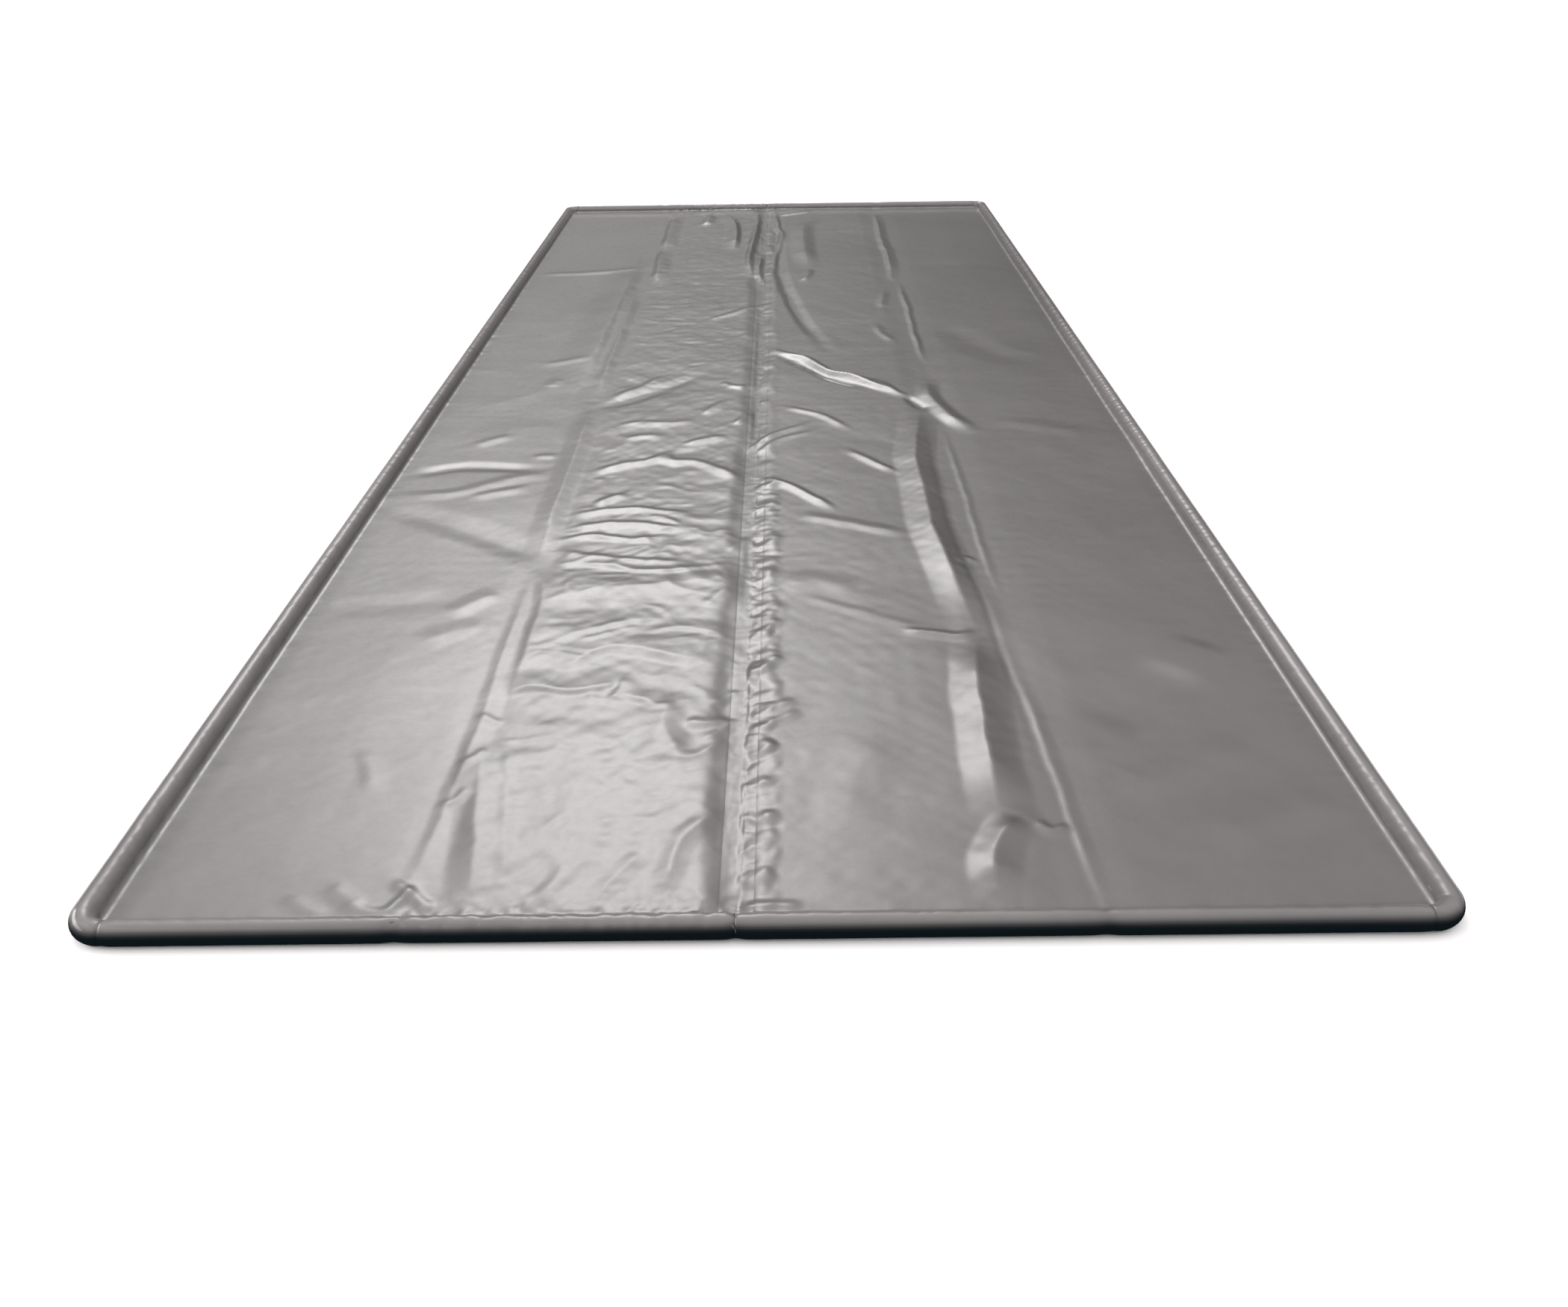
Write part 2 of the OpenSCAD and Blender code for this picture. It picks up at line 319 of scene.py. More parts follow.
def braided_copper(name):
    """Copper wires woven on the slant."""
    material, shader = new_material(name)
    n = Nodes(material)
    place = n.object_place()
    weave = n.add("ShaderNodeTexWave", {"Vector": place, "Scale": 260.0, "Distortion": 1.5},
                  wave_type="BANDS", bands_direction="DIAGONAL").outputs["Fac"]
    n.link(n.mix(weave, (0.72, 0.36, 0.22, 1), (0.42, 0.19, 0.11, 1)), shader, "Base Color")
    n.link(n.ramp(weave, 0, 1, 0.28, 0.5), shader, "Roughness")
    shader.inputs["Metallic"].default_value = 1.0
    n.bump([(weave, 0.8, 0.0004)], shader)
    return material


def make_materials():
    """One material for each slot of the record."""
    return {
        "vinyl_top": vinyl(
            "vinyl_top", (0.055, 0.0505, 0.050, 1), (0.068, 0.063, 0.0625, 1)),
        # The bead's sleeve is the top cover's own vinyl, set more than twice as light: painted light on the bead's
        # flanks.
        "vinyl_bead": vinyl(
            "vinyl_bead", (0.125, 0.117, 0.118, 1), (0.16, 0.15, 0.151, 1),
            # near-black mix: partly the underside vinyl, mostly painted shade on the bead's lower, outer side
            underside_and_shade_colour=(0.004, 0.007, 0.009, 1), specular=0.0),
        "vinyl_tape": vinyl(
            "vinyl_tape", (0.057, 0.0525, 0.052, 1), (0.070, 0.065, 0.0645, 1)),
        "vinyl_underside": vinyl(
            "vinyl_underside", (0.040, 0.043, 0.046, 1), (0.06, 0.064, 0.067, 1),
            rough=(0.38, 0.52), coat=0.1),
        "pad_foam": foam("pad_foam", (0.72, 0.72, 0.67, 1), (0.5, 0.5, 0.46, 1)),
        "rod_foam": foam("rod_foam", (0.10, 0.105, 0.11, 1), (0.045, 0.047, 0.05, 1)),
        "heating_film": moulded(
            "heating_film", (0.012, 0.012, 0.014, 1), (0.05, 0.05, 0.055, 1), (0.2, 0.34)),
        "spreader_foil": metal(
            "spreader_foil", (0.82, 0.83, 0.84, 1), (0.6, 0.61, 0.62, 1), (0.24, 0.42), (1, 0.05, 1)),
        "copper_braid": braided_copper("copper_braid"),
        "inlet_plastic": moulded(
            "inlet_plastic", (0.014, 0.014, 0.015, 1), (0.05, 0.05, 0.052, 1), (0.38, 0.55)),
        "seal_rubber": moulded(
            "seal_rubber", (0.02, 0.02, 0.02, 1), (0.06, 0.06, 0.06, 1), (0.7, 0.85)),
        "pin_brass": metal(
            "pin_brass", (0.78, 0.58, 0.25, 1), (0.6, 0.42, 0.18, 1), (0.16, 0.3), (1, 0.1, 1)),
        "lead_insulation": moulded(
            "lead_insulation", (0.5, 0.5, 0.47, 1), (0.66, 0.66, 0.62, 1), (0.45, 0.6)),
        "cutout_case": moulded(
            "cutout_case", (0.62, 0.62, 0.56, 1), (0.76, 0.76, 0.7, 1), (0.3, 0.45)),
    }


# -------- heights and folds

def smooth(t):
    """An even step from 0 at 0 to 1 at 1."""
    t = np.clip(t, 0, 1)
    return t * t * (3 - 2 * t)


def noise_2d(x, y, cell_x, cell_y, seed):
    """Smooth noise from -1 to 1 on a random lattice, with cells of cell_x by cell_y."""
    size = 97
    lattice = np.random.default_rng(seed).uniform(-1, 1, (size, size))
    u, v = x / cell_x + 500.3, y / cell_y + 500.7       # so that x, y = 0, 0 is no lattice point
    i, j = np.floor(u).astype(int), np.floor(v).astype(int)
    fu, fv = smooth(u - i), smooth(v - j)

    def at(a, b):
        return lattice[a % size, b % size]

    low = at(i, j) * (1 - fu) + at(i + 1, j) * fu
    high = at(i, j + 1) * (1 - fu) + at(i + 1, j + 1) * fu
    return low * (1 - fv) + high * fv


def noise_along(y, cell, seed, offset):
    """Smooth noise along y alone; offset tells two of them with the same seed apart."""
    return noise_2d(np.full(y.shape, float(offset)), y, 30, cell, seed)


def turned_noise(x, y, cell, seed):
    """Three noises at different headings and sizes, so that no lattice shows."""
    total = 0
    for turn, size, weight in ((0.4, 1.0, 1.0), (1.5, 0.73, 0.7), (2.6, 0.55, 0.5)):
        u = x * math.cos(turn) + y * math.sin(turn)
        v = y * math.cos(turn) - x * math.sin(turn)
        total = total + weight * noise_2d(u, v, cell * size, cell * size, seed * 10 + int(turn * 10))
    return total / 1.6


def crumple(x, y, cell, seed):
    """Facets about a cell wide that meet at sharp creases, with a mean height near 0."""
    warp_x = 0.6 * cell * turned_noise(x, y, 1.6 * cell, seed)
    warp_y = 0.6 * cell * turned_noise(x, y, 1.6 * cell, seed + 50)
    broad = np.abs(turned_noise(x + warp_x, y + warp_y, cell, seed + 100))
    fine = np.abs(turned_noise(x + warp_x, y + warp_y, 0.45 * cell, seed + 150))
    return 0.5 - 1.6 * broad - 0.35 * fine


def through(points):
    """A smooth line through the given points (Catmull-Rom)."""
    steps = 7
    p = np.array(points, float)
    if len(p) == 2:
        return p[0] + np.linspace(0, 1, steps)[:, None] * (p[1] - p[0])
    p = np.vstack([2 * p[0] - p[1], p, 2 * p[-1] - p[-2]])
    t = np.linspace(0, 1, steps, endpoint=False)[:, None]
    line = []
    for a, b, c, d in zip(p, p[1:], p[2:], p[3:]):
        line.append(0.5 * (2 * b + (c - a) * t + (2 * a - 5 * b + 4 * c - d) * t**2
                           + (3 * b - a - 3 * c + d) * t**3))
    return np.vstack(line + [p[-2:-1]])


def fold_height(x, y, height, left, right, sharp, points):
    """One fold's height in mm at x, y (mm). It runs along points, is left and right mm wide on those
    hands of its direction, and has a crest from 0, round, to 1, a crease. Its ends run out flat."""
    line = through(points)
    step = np.diff(line, axis=0)
    length = np.hypot(*step.T)
    start = np.concatenate([[0], np.cumsum(length)])
    best = np.full(x.shape, 1e9)
    side = np.zeros(x.shape)
    along = np.zeros(x.shape)
    for (ax, ay), (dx, dy), seg, s in zip(line, step, length, start):
        t = np.clip(((x - ax) * dx + (y - ay) * dy) / seg**2, 0, 1)
        ox, oy = x - ax - t * dx, y - ay - t * dy
        far = np.hypot(ox, oy)
        nearer = far < best
        best = np.where(nearer, far, best)
        side = np.where(nearer, dx * oy - dy * ox, side)
        along = np.where(nearer, s + t * seg, along)
    u = np.clip(best / np.where(side > 0, left, right), 0, 1)
    crest = (1 - sharp) * (1 + np.cos(np.pi * u)) / 2 + sharp * (1 - u)**1.2
    t = along / start[-1]
    ends = np.minimum(smooth(t * 4), smooth((1 - t) * 4)) ** 0.8
    return height * crest * (0.15 + 0.85 * ends)


def add_folds(x, y, z, folds):
    """Adds folds to z on the grid x, y (mm), each only near its own line, on a slightly wavy grid."""
    wavy_x = x + 2.2 * turned_noise(x, y, 48, 11) + 0.5 * turned_noise(x, y, 15, 12)
    wavy_y = y + 3.0 * turned_noise(x, y, 52, 13) + 0.5 * turned_noise(x, y, 15, 14)
    columns, rows = x[0], y[:, 0]
    for height, left, right, sharp, points in folds:
        p, reach = np.array(points, float), max(left, right) + 8
        (x0, y0), (x1, y1) = p.min(0) - reach, p.max(0) + reach
        i0, i1 = np.searchsorted(columns, [x0, x1])
        j0, j1 = np.searchsorted(rows, [y0, y1])
        if i1 > i0 and j1 > j0:
            area = (slice(j0, j1), slice(i0, i1))
            z[area] += fold_height(wavy_x[area], wavy_y[area], height, left, right, sharp, points)


# -------- the cover's own settling

# In mm: the coarse grid that is settled, where its held rim begins, and where it is half held.
CLOTH_X = np.linspace(-587, 587, 85)
CLOTH_Y = np.linspace(-1502, 1502, 216)
CLOTH_RIM_X, CLOTH_RIM_Y = 576, 1490
CLOTH_CREASES = (-322, -26, 291)
CLOTH_FRAMES = 12


def add_group(obj, name, weights):
    """A vertex group with the given weights, rounded to twentieths."""
    group = obj.vertex_groups.new(name=name)
    steps = 20
    levels = np.round(np.clip(weights, 0, 1) * steps).astype(int).ravel()
    for level in range(1, steps + 1):
        group.add([int(k) for k in np.nonzero(levels == level)[0]], level / steps, "REPLACE")


def settle_cover():
    """Lets a slack vinyl cover settle on the padding, held at its rim and along the folds, and gives
    how far each point of a coarse grid ends over its start, in mm."""
    x, y = np.meshgrid(CLOTH_X, CLOTH_Y)
    start = np.maximum(panel_height(x), 7.2) + 1.0 * noise_2d(x, y, 60, 60, 77)
    verts = np.stack([x, y, start], -1).reshape(-1, 3) * MM
    mesh = bpy.data.meshes.new("settling")
    mesh.from_pydata(verts.tolist(), [], grid_faces(*x.shape).tolist())
    cover = bpy.data.objects.new("settling", mesh)
    bpy.context.scene.collection.objects.link(cover)
    bpy.ops.mesh.primitive_plane_add(size=4, location=(0, 0, 0.0055))
    padding = bpy.context.object
    padding.modifiers.new("collision", "COLLISION")
    padding.collision.thickness_outer = 0.001
    padding.collision.cloth_friction = 20
    rim = (np.abs(x) > CLOTH_RIM_X) | (np.abs(y) > CLOTH_RIM_Y)
    creases = np.min([np.abs(x - crease) for crease in CLOTH_CREASES], axis=0) < 8
    add_group(cover, "held", np.where(rim, 1.0, np.where(creases, 0.5, 0.0)))
    inner_left = smooth((x + 318) / 30) * smooth((-26 - x) / 30 + 0.2)
    inner_right = smooth((x + 26) / 30) * smooth((290 - x) / 40)
    ridge = smooth((x - 170) / 30) * smooth((270 - x) / 30)
    add_group(cover, "slack", inner_left + 0.35 * inner_right + 0.2 * ridge
              + 0.18 * smooth((-330 - x) / 40) + 0.1 * smooth((x - 300) / 40))
    cloth = cover.modifiers.new("cloth", "CLOTH")
    for key, value in {"quality": 5, "mass": 0.02, "tension_stiffness": 30, "compression_stiffness": 30,
                       "shear_stiffness": 15, "bending_stiffness": 30, "tension_damping": 10,
                       "compression_damping": 10, "shear_damping": 10, "bending_damping": 1,
                       "air_damping": 2, "vertex_group_mass": "held", "vertex_group_shrink": "slack",
                       "shrink_min": 0.0, "shrink_max": -0.02}.items():
        setattr(cloth.settings, key, value)
    cloth.collision_settings.use_self_collision = False
    cloth.collision_settings.distance_min = 0.001
    scene = bpy.context.scene
    cloth.point_cache.frame_start, cloth.point_cache.frame_end = 1, CLOTH_FRAMES
    for number in range(1, CLOTH_FRAMES + 1):
        scene.frame_set(number)
    settled = cover.evaluated_get(bpy.context.evaluated_depsgraph_get()).data
    places = np.empty(len(verts) * 3)
    settled.vertices.foreach_get("co", places)
    for obj in (cover, padding):
        bpy.data.objects.remove(obj)
    scene.frame_set(1)
    return places.reshape(*x.shape, 3)[..., 2] / MM - start


def sample(grid, x, y):
    """The value at x, y (mm) of a grid on CLOTH_X by CLOTH_Y, by cubic interpolation."""
    def place(t, stations):
        at = np.clip((t - stations[0]) / (stations[1] - stations[0]), 1, len(stations) - 2.001)
        low = np.floor(at).astype(int)
        return low, at - low

    def weights(t):
        return ((-t**3 + 2 * t**2 - t) / 2, (3 * t**3 - 5 * t**2 + 2) / 2,
                (-3 * t**3 + 4 * t**2 + t) / 2, (t**3 - t**2) / 2)

    (i, u), (j, v) = place(x, CLOTH_X), place(y, CLOTH_Y)
    total = 0
    for dj, row_share in zip((-1, 0, 1, 2), weights(v)):
        for di, share in zip((-1, 0, 1, 2), weights(u)):
            total = total + row_share * share * grid[j + dj, i + di]
    return total


# -------- the cover's folds

# Each fold, in mm: height, width on its left hand, width on its right hand, sharpness, points.
# Lengthwise folds run towards +Y, so their left hand is the mat's left side; crosswise folds run
# towards +X, so their left hand is the far side.
LEFT_CREASE_FOLDS = [
    (1.3, 12, 20, 1.0, [(-332, -1486), (-320, -1420), (-315, -1300), (-314, -1150), (-316, -1000),
                        (-314, -830)]),
    (2.2, 14, 50, 0.9, [(-291, -1112), (-290, -1000), (-292, -900), (-300, -850), (-316, -814)]),
    (3.5, 28, 24, 0.9, [(-314, -780), (-318, -600), (-317, -400), (-319, -170)]),
    (3.0, 20, 20, 0.9, [(-319, -130), (-318, 200), (-317, 620)]),
    (4.6, 15, 34, 0.8, [(-280, 690), (-284, 800), (-290, 960), (-288, 1010)]),
    (5.0, 16, 34, 0.8, [(-284, 1000), (-287, 1100), (-288, 1250), (-288, 1430)]),
    (5.0, 70, 28, 0.8, [(-356, -40), (-352, 200), (-346, 500), (-338, 880)]),
    (3.0, 26, 40, 0.8, [(-262, -1478), (-274, -1404), (-284, -1340), (-294, -1276), (-299, -1216)]),
    (0.8, 10, 46, 0.9, [(-236, -1470), (-246, -1404), (-256, -1340), (-266, -1276), (-270, -1226)]),
    (1.6, 8, 12, 0.9, [(-340, -1444), (-326, -1456), (-306, -1474), (-290, -1490)]),
    (1.4, 7, 10, 0.9, [(-336, -1490), (-324, -1468), (-316, -1452)]),
    (0.9, 8, 12, 0.9, [(-318, -1168), (-304, -1180), (-288, -1190)]),
    (0.9, 8, 12, 0.9, [(-320, -1262), (-306, -1250), (-296, -1232)]),
    (0.8, 8, 12, 0.9, [(-322, -1334), (-308, -1324), (-300, -1300)]),
]

INNER_LEFT_FOLDS = [
    (2.7, 52, 64, 0.9, [(-292, -876), (-240, -868), (-192, -872), (-130, -864), (-80, -856), (-48, -842)]),
    (1.9, 16, 12, 0.9, [(-284, -798), (-220, -806), (-168, -826), (-110, -820), (-70, -812)]),
    (1.8, 10, 24, 0.8, [(-290, -762), (-240, -780), (-192, -792), (-112, -802)]),
    (1.7, 58, 15, 0.9, [(-268, -1026), (-250, -1004), (-224, -984), (-176, -966), (-124, -958)]),
    (1.0, 30, 10, 0.8, [(-236, -1006), (-206, -1000), (-176, -984), (-150, -978)]),
    (1.1, 30, 9, 0.9, [(-150, -992), (-116, -984), (-80, -990), (-44, -1008)]),
    (2.4, 64, 19, 0.9, [(-240, -1084), (-218, -1046), (-186, -1026), (-130, -1040), (-66, -1070)]),
    (1.9, 40, 11, 1.0, [(-302, -1130), (-272, -1112), (-224, -1122), (-190, -1114), (-164, -1104)]),
    (1.6, 30, 12, 0.9, [(-166, -1132), (-140, -1142), (-122, -1156), (-100, -1152)]),
    (1.5, 9, 18, 0.9, [(-176, -1146), (-168, -1120), (-164, -1098)]),
    (2.9, 46, 24, 0.7, [(-90, -1262), (-102, -1232), (-114, -1192), (-110, -1150)]),
    (1.7, 13, 22, 0.9, [(-108, -1256), (-76, -1256), (-44, -1224)]),
    (1.4, 12, 14, 0.9, [(-92, -1190), (-64, -1196), (-44, -1180)]),
    (1.4, 46, 34, 0.5, [(-96, -1474), (-86, -1404), (-62, -1340), (-56, -1270)]),
    (1.6, 16, 18, 0.9, [(-94, -1466), (-82, -1402), (-60, -1366), (-30, -1342)]),
    (1.1, 14, 18, 0.8, [(-150, -1474), (-136, -1440), (-118, -1412)]),
    (1.0, 14, 20, 0.7, [(-206, -1478), (-190, -1446), (-184, -1416)]),
    (0.9, 30, 30, 0.5, [(-250, -1190), (-200, -1210), (-150, -1204)]),
    (0.9, 40, 16, 0.6, [(-180, -1262), (-150, -1250), (-126, -1268)]),
    (0.7, 34, 34, 0.4, [(-222, -1400), (-196, -1330), (-200, -1270)]),
    (1.4, 14, 26, 0.7, [(-80, -930), (-66, -900), (-50, -880)]),
    (2.7, 12, 22, 0.9, [(-280, -478), (-232, -446), (-196, -434), (-168, -404)]),
    (2.7, 12, 22, 0.9, [(-168, -402), (-158, -434), (-120, -442), (-86, -474), (-50, -514)]),
    (2.1, 10, 22, 0.8, [(-286, -640), (-240, -628), (-200, -622), (-160, -634), (-118, -646)]),
    (1.9, 10, 20, 0.8, [(-290, -692), (-250, -676), (-200, -672), (-150, -686), (-120, -702)]),
    (1.9, 10, 18, 0.9, [(-300, -728), (-250, -712), (-200, -726), (-150, -718)]),
    (1.4, 9, 16, 0.8, [(-180, -650), (-150, -660), (-130, -680)]),
    (2.2, 12, 20, 0.8, [(-148, -370), (-112, -346), (-74, -332)]),
    (1.8, 12, 18, 0.8, [(-124, -226), (-102, -190), (-84, -160)]),
    (1.9, 10, 16, 0.8, [(-96, -56), (-70, -80), (-44, -78)]),
    (1.8, 10, 16, 0.8, [(-66, -282), (-50, -252), (-44, -222)]),
    (1.9, 12, 20, 0.8, [(-260, -608), (-240, -584), (-220, -566)]),
    (-2.4, 30, 26, 0.3, [(-312, -190), (-262, -150), (-224, -112), (-176, -60), (-136, -16)]),
    (1.9, 14, 24, 0.8, [(-290, -130), (-250, -84), (-226, -44), (-206, -6)]),
    (1.6, 14, 22, 0.8, [(-270, -280), (-226, -262), (-180, -270), (-130, -256)]),
    (1.6, 14, 20, 0.8, [(-250, -340), (-214, -322), (-180, -330)]),
    (1.8, 14, 18, 0.8, [(-144, 352), (-90, 404), (-40, 452), (-10, 488)]),
    (6.4, 34, 14, 0.8, [(-106, 1000), (-102, 1110), (-104, 1200), (-112, 1320), (-140, 1430)]),
    (4.6, 22, 24, 0.5, [(-190, 1290), (-188, 1350), (-184, 1430)]),
    (4.6, 14, 14, 0.7, [(-50, 730), (-64, 840), (-62, 1000), (-52, 1200), (-46, 1480)]),
    (4.0, 12, 14, 0.7, [(-30, 668), (-40, 780), (-30, 936)]),
]

SEAM_FOLDS = [
    (1.7, 13, 18, 1.0, [(-22, -1186), (-2, -1168), (30, -1146)]),
    (1.5, 13, 16, 1.0, [(-24, -1208), (0, -1196), (34, -1166)]),
    (1.5, 14, 16, 0.9, [(-24, -1092), (-6, -1076), (14, -1052)]),
    (1.5, 14, 16, 0.9, [(-24, -1046), (-4, -1048), (12, -1060)]),
    (1.4, 14, 16, 0.9, [(-24, -1000), (-4, -986), (8, -960)]),
    (1.4, 13, 16, 0.9, [(-22, -960), (0, -950), (12, -924)]),
    (1.4, 13, 16, 0.9, [(-24, -1256), (-6, -1248), (10, -1230)]),
    (1.4, 13, 16, 0.9, [(-24, -1318), (-4, -1304), (8, -1310)]),
    (1.3, 13, 16, 0.9, [(-26, -1352), (-10, -1366), (4, -1350)]),
    (1.3, 13, 16, 0.9, [(-28, -1416), (-10, -1404), (6, -1412)]),
    (1.3, 13, 16, 0.9, [(-24, -1458), (-8, -1446), (2, -1434)]),
    (1.8, 12, 14, 1.0, [(-24, -1488), (0, -1486), (34, -1490)]),
    (1.4, 14, 14, 0.9, [(-74, -1232), (-52, -1210), (-34, -1180)]),
    (1.3, 14, 14, 0.9, [(-66, -1156), (-48, -1140), (-34, -1120)]),
    (1.5, 16, 18, 0.9, [(-22, -760), (-4, -744), (12, -720)]),
    (1.4, 16, 18, 0.9, [(-26, -868), (-6, -850), (4, -822)]),
    (1.3, 14, 18, 0.9, [(-60, -770), (-44, -748), (-32, -720)]),
    (1.4, 16, 18, 0.9, [(-30, -640), (-10, -622), (8, -600)]),
    (1.4, 16, 18, 0.9, [(-26, -560), (-8, -548), (10, -520)]),
]

INNER_RIGHT_FOLDS = [
    (4.5, 16, 12, 0.8, [(-4, 780), (8, 984), (16, 1152), (8, 1260), (-2, 1464)]),
    (-4.5, 22, 24, 0.3, [(104, 144), (56, 380), (26, 620), (10, 800), (6, 1080), (0, 1390)]),
    (5.0, 40, 34, 0.5, [(84, 820), (76, 960), (74, 1100), (78, 1250), (104, 1340)]),
    (3.0, 14, 16, 0.7, [(10, 1404), (56, 1432), (104, 1464)]),
    (3.0, 12, 16, 0.7, [(66, 670), (76, 720), (84, 780)]),
    (6.4, 12, 18, 1.0, [(0, 140), (34, 104), (68, 72), (104, 0), (160, -50), (236, -136)]),
    (3.4, 9, 14, 1.0, [(116, -4), (160, -38), (200, -72), (228, -126)]),
    (-2.4, 20, 18, 0.3, [(20, 90), (60, 34), (110, -44), (170, -96)]),
    (2.2, 8, 16, 0.9, [(20, -190), (56, -216), (88, -240), (128, -298)]),
    (1.9, 8, 14, 0.9, [(-44, -412), (-26, -366), (-8, -338), (64, -270)]),
    (1.7, 8, 14, 0.9, [(-24, -404), (8, -356), (40, -330), (70, -308)]),
    (3.2, 9, 16, 1.0, [(-18, -512), (14, -534), (42, -562), (66, -594), (88, -630)]),
    (2.9, 8, 16, 1.0, [(122, -402), (156, -446), (194, -494)]),
    (1.6, 20, 20, 0.6, [(40, -650), (110, -684), (190, -720)]),
    (0.7, 14, 20, 0.7, [(40, -902), (100, -938), (150, -970), (208, -996)]),
    (1.0, 34, 34, 0.3, [(10, -880), (60, -860), (110, -890)]),
    (0.9, 40, 50, 0.3, [(70, -1380), (90, -1300), (110, -1220)]),
]

RIGHT_CREASE_FOLDS = [
    (4.2, 12, 24, 0.9, [(276, 690), (282, 900), (278, 1100), (282, 1300), (280, 1416)]),
    (1.8, 14, 16, 0.8, [(232, 440), (240, 500), (250, 576)]),
    (1.6, 14, 16, 0.8, [(240, 190), (220, 250), (214, 310)]),
    (5.0, 26, 24, 0.5, [(332, -312), (300, -240), (280, -150), (284, -66)]),
    (-3.0, 16, 14, 0.3, [(268, -214), (252, -180), (240, -140)]),
    (8.0, 36, 34, 1.0, [(250, -976), (246, -930), (240, -866), (234, -790), (228, -700), (228, -560),
                        (228, -440), (242, -320), (256, -226)]),
    (7.8, 32, 36, 1.0, [(226, -1346), (228, -1260), (233, -1140), (238, -1090), (247, -1026)]),
    (2.6, 10, 16, 1.0, [(160, -992), (196, -1002), (226, -1006), (250, -996)]),
    (5.6, 26, 26, 0.9, [(206, -1466), (210, -1430), (222, -1396), (244, -1366)]),
    (-0.8, 8, 9, 0.9, [(282, -1290), (276, -1140), (272, -1000), (266, -880), (256, -760), (254, -600),
                       (255, -440), (260, -300)]),
    (1.0, 7, 12, 1.0, [(298, -1492), (295, -1430), (292, -1340), (290, -1260), (287, -1180), (284, -1110)]),
    (2.6, 9, 12, 0.9, [(290, 60), (288, 200), (290, 400), (288, 640)]),
    (1.0, 7, 10, 0.9, [(291, -900), (288, -700), (288, -500), (286, -330)]),
    (1.6, 8, 12, 0.9, [(252, -820), (262, -800), (276, -812)]),
    (1.6, 8, 12, 0.9, [(258, -1370), (272, -1384), (288, -1376)]),
]

RIGHT_OUTER_FOLDS = [
    (-1.8, 70, 50, 0.2, [(352, -1212), (420, -1150), (484, -1096)]),
    (1.8, 60, 44, 0.2, [(456, -1108), (490, -1066), (520, -1030)]),
    (0.8, 36, 36, 0.4, [(376, -270), (450, -300), (524, -344)]),
    (-1.5, 60, 60, 0.2, [(360, 300), (420, 120), (500, 40)]),
    (1.4, 50, 40, 0.3, [(420, -1410), (480, -1370), (560, -1340)]),
    (1.2, 40, 40, 0.3, [(340, -1330), (420, -1290), (500, -1230)]),
]

LEFT_OUTER_FOLDS = [
    (0.8, 7, 24, 0.9, [(-398, -1312), (-406, -1290), (-412, -1270), (-430, -1236)]),
    (1.4, 30, 26, 0.6, [(-404, -944), (-376, -910), (-348, -884)]),
    (-0.7, 36, 36, 0.3, [(-560, -918), (-480, -912), (-400, -898)]),
    (0.9, 30, 30, 0.5, [(-420, -1010), (-380, -980), (-350, -976)]),
    (1.0, 12, 16, 0.9, [(-394, -1450), (-376, -1466), (-356, -1480)]),
    (1.3, 9, 14, 0.9, [(-374, -1474), (-350, -1488), (-326, -1489)]),
    (1.0, 10, 14, 0.9, [(-430, -1464), (-404, -1482), (-384, -1490)]),
    (1.2, 14, 20, 0.7, [(-382, -414), (-368, -406), (-348, -408)]),
    (1.3, 16, 24, 0.7, [(-492, -356), (-464, -334), (-436, -314)]),
    (1.2, 16, 26, 0.7, [(-452, -576), (-412, -552), (-372, -534)]),
    (-2.4, 26, 22, 0.3, [(-560, -480), (-480, -450), (-366, -466)]),
    (1.3, 20, 30, 0.6, [(-566, -562), (-480, -552), (-400, -500), (-346, -480)]),
    (-1.8, 44, 36, 0.3, [(-560, -608), (-480, -660), (-380, -730), (-300, -796)]),
    (1.0, 20, 24, 0.7, [(-414, -66), (-400, -18)]),
    (1.0, 20, 26, 0.6, [(-444, 68), (-400, 90), (-356, 106)]),
    (1.3, 22, 26, 0.6, [(-570, 772), (-450, 780), (-340, 814), (-312, 844)]),
]

ALL_FOLDS = [LEFT_CREASE_FOLDS, INNER_LEFT_FOLDS, SEAM_FOLDS, INNER_RIGHT_FOLDS, RIGHT_CREASE_FOLDS,
             RIGHT_OUTER_FOLDS, LEFT_OUTER_FOLDS]


# -------- the cover's heights

# The cover's slow rise and fall over the padding, across the mat: (x, height) in mm. The seam lies
# in a valley.
PROFILE = [
    (-590, 8.9), (-560, 9.4), (-450, 9.8), (-345, 9.2), (-318, 8.6), (-296, 8.2), (-270, 9.0),
    (-160, 10.8), (-66, 11.2), (-58, 11.0), (-36, 8.0), (-24, 7.6), (-2, 11.3), (10, 10.9), (40, 10.9),
    (130, 10.4), (235, 9.8), (262, 8.8), (290, 8.4), (330, 9.4), (450, 9.8), (560, 9.4), (590, 8.9),
]

# How crumpled the inner-left panel is along its length: (y, depth) in mm.
CRUMPLED = [
    (-1500, 0.35), (-1150, 0.45), (-900, 0.5), (-800, 0.9), (-560, 0.5), (-300, 0.35), (600, 0.5),
    (760, 0.3), (1500, 0.2),
]

# Where an end bead's sleeve and the sheet beside it are gathered into small puckers: from x, to x, in mm.
GATHERED = {"near": (-345, -10), "far": (-300, 60)}

EDGE_HEIGHT = 16.6          # of the covers' edges, inside the beads, in mm
LOWEST = 7.0                # of the cover anywhere, in mm


def panel_height(x):
    """PROFILE at x, with its corners rounded off."""
    places, heights = zip(*PROFILE)
    return np.mean([np.interp(x + d, places, heights) for d in (-4, -2, 0, 2, 4)], axis=0)


